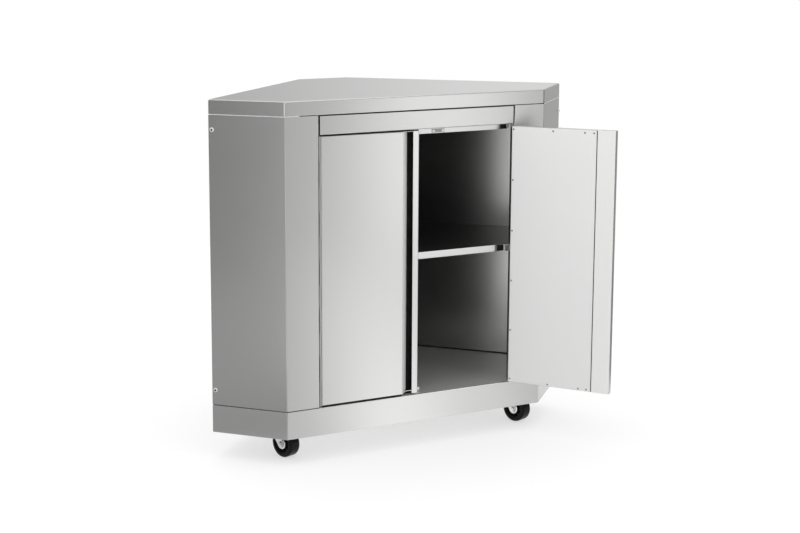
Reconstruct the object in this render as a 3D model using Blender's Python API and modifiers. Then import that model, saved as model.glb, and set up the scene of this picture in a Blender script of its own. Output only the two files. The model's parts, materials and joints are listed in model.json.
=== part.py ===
"""Outdoor kitchen corner cabinet in folded stainless sheet, on four swivel casters.

Metres, +Z up. X runs along the door front, Y goes back into the cabinet and the floor is at Z zero.
The left door is closed and the right door stands open, each on a full height hinge.
"""

import math

import bmesh
import bpy
from mathutils import Matrix, Vector

# Whole cabinet
FRONT_WIDTH = 0.7374
SIDE_DEPTH = 0.2034
WALL_LENGTH = 0.6177
BODY_HEIGHT = 0.846
GROUND_CLEARANCE = 0.068
FLARE_ANGLE = math.radians(45)

# Sheets and fits
SHEET = 0.001
FIT = 0.0003
WELD = 0.00001
FOLD_RADIUS = 0.0022
OVERRUN = 0.003

# Worktop
SKIRT_HEIGHT = 0.036
TOP_SHEET = 0.0012
TOP_EDGE_RADIUS = 0.003
SKIRT_GAP = 0.002

# Frame under the worktop
FRAME_DROP = 0.060
FRAME_SHEET = 0.0012
FRAME_FLANGE = 0.020

# Base pan, whose top is the cabinet floor
BASE_HEIGHT = 0.0712
BASE_SHEET = 0.0012
BASE_FLANGE = 0.015
BASE_EDGE_RADIUS = 0.0022
SEAM_GAP = 0.0012
BACK_SEAM_GAP = 0.0004

# Side panels
OPENING_WIDTH = 0.559
RETURN_DEPTH = 0.0195
RETURN_TOP_GAP = 0.0006
REAR_RETURN = 0.015

# Back panels
BACK_FLANGE = 0.022

# Header rail and the strip that the doors stop against
HEADER_GAP = 0.0035
HEADER_HEIGHT = 0.0462
HEADER_END_GAP = 0.0035
HEADER_TAB_WIDTH = 0.0085
STOP_DEPTH = 0.0215
STOP_OVERLAP = 0.0113
STOP_RISE = 0.018
STOP_FLANGE = 0.012
STOP_END_INSET = 0.0298

# Doors
DOOR_THICKNESS = 0.020
DOOR_TOP_GAP = 0.0036
DOOR_BOTTOM_GAP = 0.0046
HINGE_GAP = 0.0059
MEETING_GAP = 0.0015
OPEN_ANGLE = math.radians(128.7)
DOOR_RETURN = 0.014
LINER_INSET = 0.0008
HANDLE_STRIP = 0.0479
LIP_WIDTH = 0.0172
MOUTH_WIDTH = 0.0282
FLANK_RUN = 0.0197
CAP_INSET = 0.0076

# Full height hinges
KNUCKLE_COUNT = 11
KNUCKLE_RADIUS = 0.002
KNUCKLE_BORE = 0.0013
PIN_RADIUS = 0.0011
LEAF_SHEET = 0.001
LEAF_WIDTH = 0.016
KNUCKLE_RELIEF = 0.0006

# Catches and the stop on the floor
CATCH_OFFSET = 0.0649
CATCH_WIDTH = 0.035
CATCH_HEIGHT = 0.0076
CATCH_DEPTH = 0.014
CATCH_RISE = 0.0024
CATCH_GAP = 0.0006
FLOOR_STOP_WIDTH = 0.032
FLOOR_STOP_HEIGHT = 0.0115
FLOOR_STOP_DEPTH = 0.012

# Shelf and what carries it
SHELF_RISE = 0.3681
SHELF_LIP = 0.0175
SHELF_FRONT = 0.024
SHELF_SIDE_GAP = 0.0045
SHELF_LIP_INSET = 0.0315
CLIP_REACH = 0.010
CLIP_DEPTH = 0.017
CLIP_SHEET = 0.0012
BRACKET_LENGTH = 0.260
BRACKET_FLANGE = 0.018
BRACKET_DROP = 0.020
BRACKET_SHEET = 0.0015

# Bolts that join the side panels to the back panels
BOLT_EDGE = 0.010
BOLT_TOP_INSET = 0.0746
BOLT_BASE_INSET = 0.0391
BOLT_HEAD_RADIUS = 0.0058
BOLT_HEAD_HEIGHT = 0.0024
BOLT_RADIUS = 0.0028
BOLT_HOLE = 0.0032
BOLT_LENGTH = 0.011
SOCKET_RADIUS = 0.0022
SOCKET_DEPTH = 0.0016

# Channels under the floor that carry the casters
CHANNEL_WIDTH = 0.090
CHANNEL_SHEET = 0.002
FRONT_CHANNEL_LENGTH = 0.790
REAR_CHANNEL_LENGTH = 0.400
CHANNEL_END = 0.0503

# Casters
CASTER_Y = 0.0901
REAR_CASTER_Y = 0.400
CASTER_YAW = math.radians(-72)
CASTER_HEIGHT = 0.095
TRAIL = 0.016
PLATE_SIZE = 0.064
PLATE_SHEET = 0.0025
PLATE_CORNER = 0.006
PLATE_BOLT_SPACING = 0.044
PLATE_BOLT_RADIUS = 0.003
PLATE_BOLT_HEAD = 0.0052
PLATE_BOLT_HEAD_HEIGHT = 0.0035
PLATE_NUT_HEIGHT = 0.005
PLATE_BOLT_HOLE = 0.0035
KING_PIN_RADIUS = 0.005
KING_PIN_HEAD = 0.0085
KING_PIN_HEAD_HEIGHT = 0.0024
RACE_INNER = 0.012
RACE_OUTER = 0.019
RACE_HEIGHT = 0.0028
CROWN_RADIUS = 0.0245
CROWN_SHEET = 0.003
LEG_SHEET = 0.0025
LEG_REAR = 0.0235
LEG_FRONT = 0.014
LEG_SHOULDER = 0.017
LEG_BROW = 0.006
AXLE_BOSS = 0.009
AXLE_RADIUS = 0.004
AXLE_CLEARANCE = 0.0003
AXLE_HEAD_RADIUS = 0.0068
AXLE_HEAD_HEIGHT = 0.004
WHEEL_RADIUS = 0.036
WHEEL_WIDTH = 0.033
WHEEL_SIDE_GAP = 0.001
TREAD_DEPTH = 0.010
TREAD_SHOULDER = 0.007
TREAD_CROWN = 0.012
HUB_RADIUS = 0.0135
RIM_SHEET = 0.0025
WEB_WIDTH = 0.008

# Facets round the turned pieces
TYRE_SIDES = 32
HUB_SIDES = 28
CROWN_SIDES = 24
AXLE_SIDES = 20
BOLT_SIDES = 18
PIN_SIDES = 12
HEXAGON = 6

# Levels, counted up from the floor
BASE_BOTTOM = GROUND_CLEARANCE
BASE_TOP = BASE_BOTTOM + BASE_HEIGHT
WORKTOP_TOP = BASE_BOTTOM + BODY_HEIGHT
SKIRT_BOTTOM = WORKTOP_TOP - SKIRT_HEIGHT
PANEL_BOTTOM = BASE_TOP + SEAM_GAP
PANEL_TOP = SKIRT_BOTTOM - SKIRT_GAP
BACK_BOTTOM = BASE_TOP + BACK_SEAM_GAP
HEADER_TOP = SKIRT_BOTTOM - HEADER_GAP
HEADER_BOTTOM = HEADER_TOP - HEADER_HEIGHT
DOOR_TOP = HEADER_BOTTOM - DOOR_TOP_GAP
DOOR_BOTTOM = BASE_TOP + DOOR_BOTTOM_GAP
DOOR_HEIGHT = DOOR_TOP - DOOR_BOTTOM
FRAME_TOP = WORKTOP_TOP - TOP_SHEET - FIT
FRAME_BOTTOM = FRAME_TOP - FRAME_DROP
SHELF_TOP = BASE_TOP + SHELF_RISE
SHELF_BOTTOM = SHELF_TOP - SHELF_LIP

# Plan lines
CASTER_X = FRONT_CHANNEL_LENGTH / 2 - CHANNEL_END
REAR_CASTER_X = REAR_CHANNEL_LENGTH / 2 - CHANNEL_END
HALF_FRONT = FRONT_WIDTH / 2
HALF_OPENING = OPENING_WIDTH / 2
BACK_INSET = SHEET + FIT
FRAME_INSET = BACK_INSET + SHEET + FIT
HINGE_X = HALF_OPENING - HINGE_GAP / 2
DOOR_WIDTH = HALF_OPENING - HINGE_GAP - MEETING_GAP / 2
SKIN_DEPTH = DOOR_THICKNESS - SHEET - FIT
SIDE_DIRECTION = Vector((math.cos(FLARE_ANGLE), math.sin(FLARE_ANGLE)))
WALL_DIRECTION = Vector((-math.sin(FLARE_ANGLE), math.cos(FLARE_ANGLE)))
FRONT_CORNER = Vector((HALF_FRONT, 0))
SIDE_CORNER = FRONT_CORNER + SIDE_DIRECTION * SIDE_DEPTH
REAR_CORNER = SIDE_CORNER + WALL_DIRECTION * WALL_LENGTH

# The open door reaches furthest to the front at the rounded free edge of its inner face
DOOR_REACH = ((HINGE_GAP / 2 + DOOR_WIDTH - FOLD_RADIUS) * math.sin(OPEN_ANGLE)
              - (DOOR_THICKNESS - FOLD_RADIUS) * math.cos(OPEN_ANGLE) + FOLD_RADIUS)
FRONT_Y = (DOOR_REACH - REAR_CORNER.y) / 2

for old in list(bpy.data.objects):
    bpy.data.objects.remove(old)

parts = bpy.data.collections.new("outdoor_kitchen_corner_cabinet")
cutters = bpy.data.collections.new("cutters")
bpy.context.scene.collection.children.link(parts)
bpy.context.scene.collection.children.link(cutters)


def finish(name, colour, roughness, metallic):
    """A plain material for one sub-part."""
    material = bpy.data.materials.new(name)
    material.use_nodes = True
    shader = material.node_tree.nodes["Principled BSDF"]
    shader.inputs["Base Color"].default_value = (*colour, 1)
    shader.inputs["Roughness"].default_value = roughness
    shader.inputs["Metallic"].default_value = metallic
    return material


STEEL = ((0.62, 0.62, 0.61), 0.32, 1.0)
BRIGHT_STEEL = ((0.72, 0.72, 0.71), 0.22, 1.0)
ZINC = ((0.66, 0.66, 0.68), 0.28, 1.0)
RUBBER = ((0.012, 0.012, 0.012), 0.55, 0.0)
NYLON = ((0.03, 0.03, 0.03), 0.42, 0.0)
PALE_PLASTIC = ((0.70, 0.70, 0.69), 0.40, 0.0)


def empty(name, parent, location, turn=(0, 0, 0)):
    """A named pivot that other objects hang from."""
    pivot = bpy.data.objects.new(name, None)
    parts.objects.link(pivot)
    pivot.parent = parent
    pivot.location = location
    pivot.rotation_euler = turn
    return pivot


def placed(mesh, name, parent, home):
    """An object around a mesh, in a collection and under a pivot."""
    made = bpy.data.objects.new(name, mesh)
    home.objects.link(made)
    made.parent = parent
    return made


def tidy_mesh(mesh):
    """Weld loose caps and turn every face outward."""
    work = bmesh.new()
    work.from_mesh(mesh)
    bmesh.ops.remove_doubles(work, verts=work.verts, dist=WELD)
    bmesh.ops.recalc_face_normals(work, faces=work.faces)
    work.to_mesh(mesh)
    work.free()


def prism(name, outline, low, high, parent, axis="Z", home=None):
    """A flat outline extruded from low to high along one axis.

    Along Z the outline is in X and Y, along X it is in Y and Z, and along Y it is in X and Z.
    """
    curve = bpy.data.curves.new(name, "CURVE")
    curve.dimensions = "2D"
    curve.fill_mode = "BOTH"
    curve.extrude = (high - low) / 2
    spline = curve.splines.new("POLY")
    spline.points.add(len(outline) - 1)
    for point, place in zip(spline.points, outline):
        point.co = (place[0], place[1], 0, 1)
    spline.use_cyclic_u = True
    drawn = bpy.data.objects.new(name + "_outline", curve)
    bpy.context.scene.collection.objects.link(drawn)
    graph = bpy.context.evaluated_depsgraph_get()
    mesh = bpy.data.meshes.new_from_object(drawn.evaluated_get(graph))
    mesh.name = name
    bpy.data.objects.remove(drawn)
    bpy.data.curves.remove(curve)
    mesh.transform(Matrix.Translation((0, 0, (high + low) / 2)))
    if axis == "X":
        mesh.transform(Matrix(((0, 0, 1, 0), (1, 0, 0, 0), (0, 1, 0, 0), (0, 0, 0, 1))))
    if axis == "Y":
        mesh.transform(Matrix(((1, 0, 0, 0), (0, 0, 1, 0), (0, 1, 0, 0), (0, 0, 0, 1))))
    tidy_mesh(mesh)
    return placed(mesh, name, parent, home or parts)


def block(name, low, high, parent, home=None):
    """A box between two corners."""
    bpy.ops.mesh.primitive_cube_add(size=1)
    made = bpy.context.active_object
    made.name = name
    size = Vector(high) - Vector(low)
    middle = (Vector(high) + Vector(low)) / 2
    made.data.transform(Matrix.Translation(middle) @ Matrix.Diagonal((*size, 1)))
    for owner in list(made.users_collection):
        owner.objects.unlink(made)
    (home or parts).objects.link(made)
    made.parent = parent
    return made


def turned(name, profile, sides, parent, axis="Z", home=None, start=0.0):
    """A profile of radius and height, from its outer side's top to its bottom, spun about an axis."""
    mesh = bpy.data.meshes.new(name)
    work = bmesh.new()
    rim = [work.verts.new((radius, 0, height)) for radius, height in profile]
    for first, second in zip(rim, rim[1:] + rim[:1]):
        work.edges.new((first, second))
    work.to_mesh(mesh)
    work.free()
    spun = placed(mesh, name, None, home or parts)
    screw = spun.modifiers.new("spin", "SCREW")
    screw.steps = sides
    screw.render_steps = sides
    screw.use_merge_vertices = True
    screw.merge_threshold = WELD
    graph = bpy.context.evaluated_depsgraph_get()
    solid = bpy.data.meshes.new_from_object(spun.evaluated_get(graph))
    bpy.data.objects.remove(spun)
    bpy.data.meshes.remove(mesh)
    solid.name = name
    solid.transform(Matrix.Rotation(start, 4, "Z"))
    if axis == "Y":
        solid.transform(Matrix.Rotation(-math.pi / 2, 4, "X"))
    if axis == "X":
        solid.transform(Matrix.Rotation(math.pi / 2, 4, "Y"))
    tidy_mesh(solid)
    return placed(solid, name, parent, home or parts)


def joined(name, pieces, parent):
    """Several separate cutter bodies in one cutter object."""
    work = bmesh.new()
    for piece in pieces:
        piece.data.transform(piece.matrix_basis)
        work.from_mesh(piece.data)
        bpy.data.objects.remove(piece)
    mesh = bpy.data.meshes.new(name)
    work.to_mesh(mesh)
    work.free()
    return placed(mesh, name, parent, cutters)


def combine(target, tool, operation):
    """A Boolean between a part and a hidden cutter."""
    tool.hide_render = True
    tool.display_type = "WIRE"
    if tool.name not in cutters.objects:
        parts.objects.unlink(tool)
        cutters.objects.link(tool)
    change = target.modifiers.new(operation.lower(), "BOOLEAN")
    change.operation = operation
    change.solver = "EXACT"
    change.object = tool
    return target


def cut(target, tool):
    """Take the cutter's space out of the part."""
    return combine(target, tool, "DIFFERENCE")


def join(target, tool):
    """Weld the tool's body to the part."""
    return combine(target, tool, "UNION")


def soften(target, radius, steps, chosen):
    """Round the edges that the test picks, ahead of any cut."""
    mesh = target.data
    weights = mesh.attributes.new("bevel_weight_edge", "FLOAT", "EDGE")
    for edge in mesh.edges:
        first, second = (mesh.vertices[index].co for index in edge.vertices)
        weights.data[edge.index].value = 1.0 if chosen(first, second) else 0.0
    bevel = target.modifiers.new("edge", "BEVEL")
    bevel.limit_method = "WEIGHT"
    bevel.width = radius
    bevel.segments = steps
    return target


def paint(target, look):
    """Give the part its own material, smooth but for its sharp edges."""
    target.data.materials.clear()
    target.data.materials.append(finish(target.name, *look))
    target.data.shade_smooth()
    target.data.set_sharp_from_angle(angle=math.radians(30))
    return target


def mirrored(points, side):
    """The same outline on the right (1) or, flipped, on the left (-1)."""
    return [(point[0] * side, point[1]) for point in points]


def offset_path(points, distance):
    """An open path moved to its left by a distance, with mitred corners."""
    points = [Vector(point) for point in points]
    ways = [(end - start).normalized() for start, end in zip(points, points[1:])]
    lefts = [Vector((-way.y, way.x)) for way in ways]
    moved = [points[0] + lefts[0] * distance]
    for point, before, after in zip(points[1:-1], lefts, lefts[1:]):
        mitre = (before + after).normalized()
        moved.append(point + mitre * (distance / mitre.dot(after)))
    moved.append(points[-1] + lefts[-1] * distance)
    return moved


def folded(points, radius, steps=3):
    """An open path whose corners are bends of a given outer radius."""
    points = [Vector(point) for point in points]
    bent = [points[0]]
    for before, corner, after in zip(points, points[1:], points[2:]):
        back = (before - corner).normalized()
        ahead = (after - corner).normalized()
        half = back.angle(ahead) / 2
        reach = radius / math.tan(half)
        centre = corner + (back + ahead).normalized() * (radius / math.sin(half))
        first = corner + back * reach - centre
        last = corner + ahead * reach - centre
        sweep = math.atan2(first.x * last.y - first.y * last.x, first.dot(last))
        for step in range(steps + 1):
            turn = Matrix.Rotation(sweep * step / steps, 2)
            bent.append(centre + turn @ first)
    bent.append(points[-1])
    return bent


def sheet_outline(points, thickness, radius=FOLD_RADIUS):
    """The closed section of a sheet folded along a path, its thickness on the path's left."""
    outer = folded(points, radius)
    return outer + list(reversed(offset_path(outer, thickness)))


def arc(centre, radius, start, end, steps):
    """Points on an arc, both ends included."""
    turns = [start + (end - start) * step / steps for step in range(steps + 1)]
    return [(centre[0] + radius * math.cos(turn), centre[1] + radius * math.sin(turn))
            for turn in turns]


def rectangle(low, high):
    """The four corners of a flat box."""
    return [(low[0], low[1]), (high[0], low[1]), (high[0], high[1]), (low[0], high[1])]


def meet(first_point, first_way, second_point, second_way):
    """Where two plan lines cross."""
    gap = second_point - first_point
    across = first_way.x * second_way.y - first_way.y * second_way.x
    return first_point + first_way * ((gap.x * second_way.y - gap.y * second_way.x) / across)


def right_corners(front, side, wall, rear):
    """The plan's right corners with each face moved inward by its own distance."""
    side_point = FRONT_CORNER + WALL_DIRECTION * side
    wall_point = SIDE_CORNER - SIDE_DIRECTION * wall
    along = Vector((1, 0))
    front_corner = meet(Vector((0, front)), along, side_point, SIDE_DIRECTION)
    side_corner = meet(side_point, SIDE_DIRECTION, wall_point, WALL_DIRECTION)
    rear_corner = meet(wall_point, WALL_DIRECTION, Vector((0, REAR_CORNER.y - rear)), along)
    return front_corner, side_corner, rear_corner


def plan(front, side, wall, rear):
    """The whole hexagon with each face moved inward by its own distance."""
    right = [tuple(corner) for corner in right_corners(front, side, wall, rear)]
    return right + list(reversed(mirrored(right, -1)))


def even_plan(inset):
    """The hexagon with all its faces moved inward alike."""
    return plan(inset, inset, inset, inset)


cabinet = empty("cabinet_origin", None, (0, FRONT_Y, 0))

# Worktop, a hexagonal pan with its skirt turned down and its edges rounded
worktop = prism("worktop", even_plan(0), SKIRT_BOTTOM, WORKTOP_TOP, cabinet)
soften(worktop, TOP_EDGE_RADIUS, 3,
       lambda first, second: abs(first.z - second.z) > SHEET or min(first.z, second.z) > WORKTOP_TOP - SHEET)
cut(worktop, prism("worktop_hollow", even_plan(TOP_SHEET), SKIRT_BOTTOM - OVERRUN, WORKTOP_TOP - TOP_SHEET,
                   cabinet, home=cutters))
paint(worktop, STEEL)

# Frame that bridges the panels and the skirt from inside, its flange under the worktop
top_frame = prism("top_frame", even_plan(FRAME_INSET), FRAME_BOTTOM, FRAME_TOP, cabinet)
soften(top_frame, FOLD_RADIUS, 2, lambda first, second: abs(first.z - second.z) > SHEET)
cut(top_frame, prism("top_frame_hollow", even_plan(FRAME_INSET + FRAME_SHEET), FRAME_BOTTOM - OVERRUN,
                     FRAME_TOP - FRAME_SHEET, cabinet, home=cutters))
cut(top_frame, prism("top_frame_window", even_plan(FRAME_INSET + FRAME_FLANGE), FRAME_BOTTOM,
                     FRAME_TOP + OVERRUN, cabinet, home=cutters))
paint(top_frame, STEEL)

# Base pan: the cabinet floor with the plinth band turned down and a narrow flange at its foot
base_pan = prism("base_pan", even_plan(0), BASE_BOTTOM, BASE_TOP, cabinet)
soften(base_pan, BASE_EDGE_RADIUS, 2,
       lambda first, second: abs(first.z - second.z) > SHEET or min(first.z, second.z) > BASE_TOP - SHEET)
cut(base_pan, prism("base_pan_hollow", even_plan(BASE_SHEET), BASE_BOTTOM + BASE_SHEET, BASE_TOP - BASE_SHEET,
                    cabinet, home=cutters))
cut(base_pan, prism("base_pan_window", even_plan(BASE_FLANGE), BASE_BOTTOM - OVERRUN,
                    BASE_BOTTOM + BASE_SHEET + OVERRUN, cabinet, home=cutters))
paint(base_pan, STEEL)


def side_bolt_place(side, height):
    """Point on the outer face of a side panel where a bolt goes through."""
    place = SIDE_CORNER - SIDE_DIRECTION * BOLT_EDGE
    return (place.x * side, place.y, BASE_BOTTOM + height)


def side_bolt_hole(name, side, height, radius):
    """Cutter square to a side panel."""
    depth = BOLT_LENGTH + OVERRUN
    hole = turned(name, [(radius, OVERRUN), (radius, -depth), (0, -depth), (0, OVERRUN)], AXLE_SIDES, cabinet,
                  axis="X", home=cutters)
    hole.location = side_bolt_place(side, height)
    hole.rotation_euler = (0, 0, -FLARE_ANGLE if side > 0 else FLARE_ANGLE + math.pi)
    return hole


SIDES = (("left", -1), ("right", 1))
LEVELS = (("lower", BASE_HEIGHT + BOLT_BASE_INSET), ("upper", BODY_HEIGHT - BOLT_TOP_INSET))
DOME_TURNS = [math.radians(angle) for angle in (70, 45, 20, 0)]

# Side panels: return beside the door, front filler, side and a return round the rear corner
for word, side in SIDES:
    front_corner, side_corner, rear_corner = right_corners(0, 0, 0, 0)
    path = [Vector((HALF_OPENING, RETURN_DEPTH)), Vector((HALF_OPENING, 0)), front_corner, side_corner,
            side_corner + WALL_DIRECTION * REAR_RETURN]
    panel = prism(word + "_side_panel", mirrored(sheet_outline(path, SHEET), side), PANEL_BOTTOM, PANEL_TOP,
                  cabinet)
    inner_x = (HALF_OPENING - OVERRUN) * side
    outer_x = (HALF_OPENING + FOLD_RADIUS + OVERRUN) * side
    cut(panel, block(word + "_return_notch",
                     (min(inner_x, outer_x), SHEET + FIT, FRAME_BOTTOM - RETURN_TOP_GAP),
                     (max(inner_x, outer_x), RETURN_DEPTH + OVERRUN, PANEL_TOP + OVERRUN), cabinet, cutters))
    for level, height in LEVELS:
        cut(panel, side_bolt_hole(word + "_panel_hole_" + level, side, height, BOLT_HOLE))
    paint(panel, STEEL)

# Back panels: flange inside the side panel, the long wall and a flange inside the rear corner panel
for word, side in SIDES:
    front_corner, side_corner, rear_corner = right_corners(0, BACK_INSET, BACK_INSET, BACK_INSET)
    path = [side_corner - SIDE_DIRECTION * BACK_FLANGE, side_corner, rear_corner,
            rear_corner - Vector((BACK_FLANGE, 0))]
    panel = prism(word + "_back_panel", mirrored(sheet_outline(path, SHEET), side), BACK_BOTTOM, PANEL_TOP,
                  cabinet)
    for level, height in LEVELS:
        cut(panel, side_bolt_hole(word + "_flange_hole_" + level, side, height, BOLT_HOLE))
    paint(panel, STEEL)

# Rear corner panel with a return along each wall
rear_path = [REAR_CORNER - WALL_DIRECTION * REAR_RETURN, REAR_CORNER,
             Vector((-REAR_CORNER.x, REAR_CORNER.y)),
             Vector((-REAR_CORNER.x + WALL_DIRECTION.x * REAR_RETURN,
                     REAR_CORNER.y - WALL_DIRECTION.y * REAR_RETURN))]
rear_corner_panel = prism("rear_corner_panel", sheet_outline(rear_path, SHEET), BACK_BOTTOM, PANEL_TOP,
                          cabinet)
paint(rear_corner_panel, STEEL)

# Bolts with a domed head and a hexagon socket, through the side panel and the back panel's flange
for word, side in SIDES:
    for level, height in LEVELS:
        head = BOLT_HEAD_HEIGHT
        dome = [(BOLT_HEAD_RADIUS * math.cos(turn), FIT + head * math.sin(turn)) for turn in DOME_TURNS]
        profile = [(0, FIT + head)] + dome + [(BOLT_RADIUS, FIT), (BOLT_RADIUS, -BOLT_LENGTH),
                                              (0, -BOLT_LENGTH)]
        bolt = turned(word + "_side_bolt_" + level, profile, BOLT_SIDES, cabinet, axis="X")
        socket = turned(word + "_socket_" + level,
                        [(SOCKET_RADIUS, head + OVERRUN), (SOCKET_RADIUS, FIT + head - SOCKET_DEPTH),
                         (0, FIT + head - SOCKET_DEPTH), (0, head + OVERRUN)], HEXAGON, cabinet,
                        axis="X", home=cutters)
        for piece in (bolt, socket):
            piece.location = side_bolt_place(side, height)
            piece.rotation_euler = (0, 0, -FLARE_ANGLE if side > 0 else FLARE_ANGLE + math.pi)
        paint(cut(bolt, socket), BRIGHT_STEEL)

# Header rail: a front face with a flange under it and a tab at each end of the flange
half_header = HALF_OPENING - HEADER_END_GAP
header_path = [(STOP_DEPTH, HEADER_BOTTOM), (0, HEADER_BOTTOM), (0, HEADER_TOP)]
header_section = sheet_outline([(x, z) for x, z in reversed(header_path)], SHEET)
header_rail = prism("header_rail", header_section, -half_header, half_header, cabinet, axis="X")
for word, side in SIDES:
    near = (half_header - HEADER_TAB_WIDTH) * side
    far = half_header * side
    join(header_rail, block(word + "_header_tab",
                            (min(near, far), STOP_DEPTH - SHEET, HEADER_BOTTOM - STOP_OVERLAP),
                            (max(near, far), STOP_DEPTH, HEADER_BOTTOM + SHEET), cabinet, cutters))
paint(header_rail, STEEL)

# Strip behind the header that the doors close towards
half_stop = HALF_OPENING - STOP_END_INSET
stop_front = STOP_DEPTH + FIT
stop_low = HEADER_BOTTOM - STOP_OVERLAP - DOOR_TOP_GAP
stop_path = [(stop_front + STOP_FLANGE, HEADER_BOTTOM + STOP_RISE), (stop_front, HEADER_BOTTOM + STOP_RISE),
             (stop_front, stop_low)]
door_stop_strip = prism("door_stop_strip", sheet_outline(stop_path, SHEET), -half_stop, half_stop, cabinet,
                        axis="X")

# Magnet catches let into the strip, one for each door, with a narrow fit all round
for word, side in SIDES:
    low = Vector((CATCH_OFFSET * side - CATCH_WIDTH / 2, DOOR_THICKNESS + CATCH_GAP, stop_low + CATCH_RISE))
    high = low + Vector((CATCH_WIDTH, CATCH_DEPTH, CATCH_HEIGHT))
    fit = Vector((FIT, FIT, FIT))
    cut(door_stop_strip, block(word + "_catch_window", low - fit, high + fit, cabinet, cutters))
    paint(block(word + "_magnet_catch", low, high, cabinet), PALE_PLASTIC)
paint(door_stop_strip, STEEL)

# Angle on the floor that both doors meet at their lower corners
stop_back = DOOR_THICKNESS + CATCH_GAP
floor_stop_path = [(stop_back + FLOOR_STOP_DEPTH, BASE_TOP + FIT), (stop_back, BASE_TOP + FIT),
                   (stop_back, BASE_TOP + FIT + FLOOR_STOP_HEIGHT)]
floor_stop = prism("floor_stop", sheet_outline(list(reversed(floor_stop_path)), BRACKET_SHEET),
                   -FLOOR_STOP_WIDTH / 2, FLOOR_STOP_WIDTH / 2, cabinet, axis="X")
paint(floor_stop, STEEL)

# Shelf: a shallow tray upside down, its front lip ending short of both corners
shelf_plan = plan(SHELF_FRONT, SHELF_SIDE_GAP, SHELF_SIDE_GAP, SHELF_SIDE_GAP)
shelf_inner = plan(SHELF_FRONT + SHEET, SHELF_SIDE_GAP + SHEET, SHELF_SIDE_GAP + SHEET,
                   SHELF_SIDE_GAP + SHEET)
shelf = prism("shelf", shelf_plan, SHELF_BOTTOM, SHELF_TOP, cabinet)
cut(shelf, prism("shelf_hollow", shelf_inner, SHELF_BOTTOM - OVERRUN, SHELF_TOP - SHEET, cabinet,
                 home=cutters))
for word, side in SIDES:
    near = (HALF_OPENING - SHELF_LIP_INSET) * side
    far = (shelf_plan[0][0] + OVERRUN) * side
    cut(shelf, block(word + "_shelf_notch",
                     (min(near, far), SHELF_FRONT - OVERRUN, SHELF_BOTTOM - OVERRUN),
                     (max(near, far), SHELF_FRONT + BRACKET_FLANGE, SHELF_TOP - SHEET), cabinet, cutters))
paint(shelf, BRIGHT_STEEL)

# Clips that hook round the rear edge of each side panel's return and carry the shelf's front corners
for word, side in SIDES:
    back_of_return = HALF_OPENING + SHEET + FIT
    path = [Vector((back_of_return + CLIP_SHEET, RETURN_DEPTH - CLIP_DEPTH)),
            Vector((back_of_return + CLIP_SHEET, RETURN_DEPTH + FIT + CLIP_SHEET + FIT)),
            Vector((HALF_OPENING - CLIP_REACH, RETURN_DEPTH + FIT + CLIP_SHEET + FIT))]
    clip = prism(word + "_shelf_clip", mirrored(sheet_outline(path, CLIP_SHEET, CLIP_SHEET), side),
                 SHELF_BOTTOM, SHELF_TOP - SHEET - FIT, cabinet)
    paint(clip, STEEL)

# Angles on the back panels under the shelf
for word, side in SIDES:
    depth = BACK_INSET + SHEET + FIT
    wall_line = right_corners(0, depth, depth, depth)
    middle = (wall_line[1] + wall_line[2]) / 2
    top = SHELF_BOTTOM - FIT
    path = [(0, top - BRACKET_DROP), (0, top), (BRACKET_FLANGE, top)]
    section = sheet_outline(list(reversed(path)), BRACKET_SHEET)
    bracket = prism(word + "_shelf_bracket", section, -BRACKET_LENGTH / 2, BRACKET_LENGTH / 2, cabinet,
                    axis="Y")
    bracket.location = (middle.x * side, middle.y, 0)
    bracket.rotation_euler = (0, 0, FLARE_ANGLE + math.pi if side > 0 else -FLARE_ANGLE)
    paint(bracket, STEEL)


def hinge_leaf(name, parent, side, own):
    """One leaf of a full height hinge: a plate with every second knuckle, side 1 to the right."""
    outer = HINGE_GAP / 2 - FIT
    inner = outer - LEAF_SHEET
    touch = math.acos(inner / KNUCKLE_RADIUS)
    curl = arc((0, 0), KNUCKLE_RADIUS, 0, touch - 2 * math.pi, 13)
    outline = [(outer, 0)] + curl + [(inner, LEAF_WIDTH), (outer, LEAF_WIDTH)]
    leaf = prism(name, mirrored(outline, side), DOOR_BOTTOM, DOOR_TOP, parent)
    bore = turned(name + "_bore", [(KNUCKLE_BORE, DOOR_TOP + OVERRUN), (KNUCKLE_BORE, DOOR_BOTTOM - OVERRUN),
                                   (0, DOOR_BOTTOM - OVERRUN), (0, DOOR_TOP + OVERRUN)], PIN_SIDES, parent,
                  home=cutters)
    pitch = DOOR_HEIGHT / KNUCKLE_COUNT
    clear = KNUCKLE_RADIUS + KNUCKLE_RELIEF
    gaps = []
    for index in range(KNUCKLE_COUNT):
        if index % 2 == own:
            continue
        low = DOOR_BOTTOM + pitch * index - FIT / 2
        high = low + pitch + FIT
        if index == 0:
            low -= OVERRUN
        if index == KNUCKLE_COUNT - 1:
            high += OVERRUN
        gaps.append(block("{}_gap_{}".format(name, index), (-HINGE_GAP, -clear, low), (HINGE_GAP, clear, high),
                          parent, cutters))
    cut(leaf, bore)
    cut(leaf, joined(name + "_gaps", gaps, parent))
    return paint(leaf, BRIGHT_STEEL)


def door_points(points, side):
    """Door section points, counted from the hinge edge and the front face, about the hinge axis."""
    return [((point[0] + HINGE_GAP / 2) * -side, point[1]) for point in points]


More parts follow.
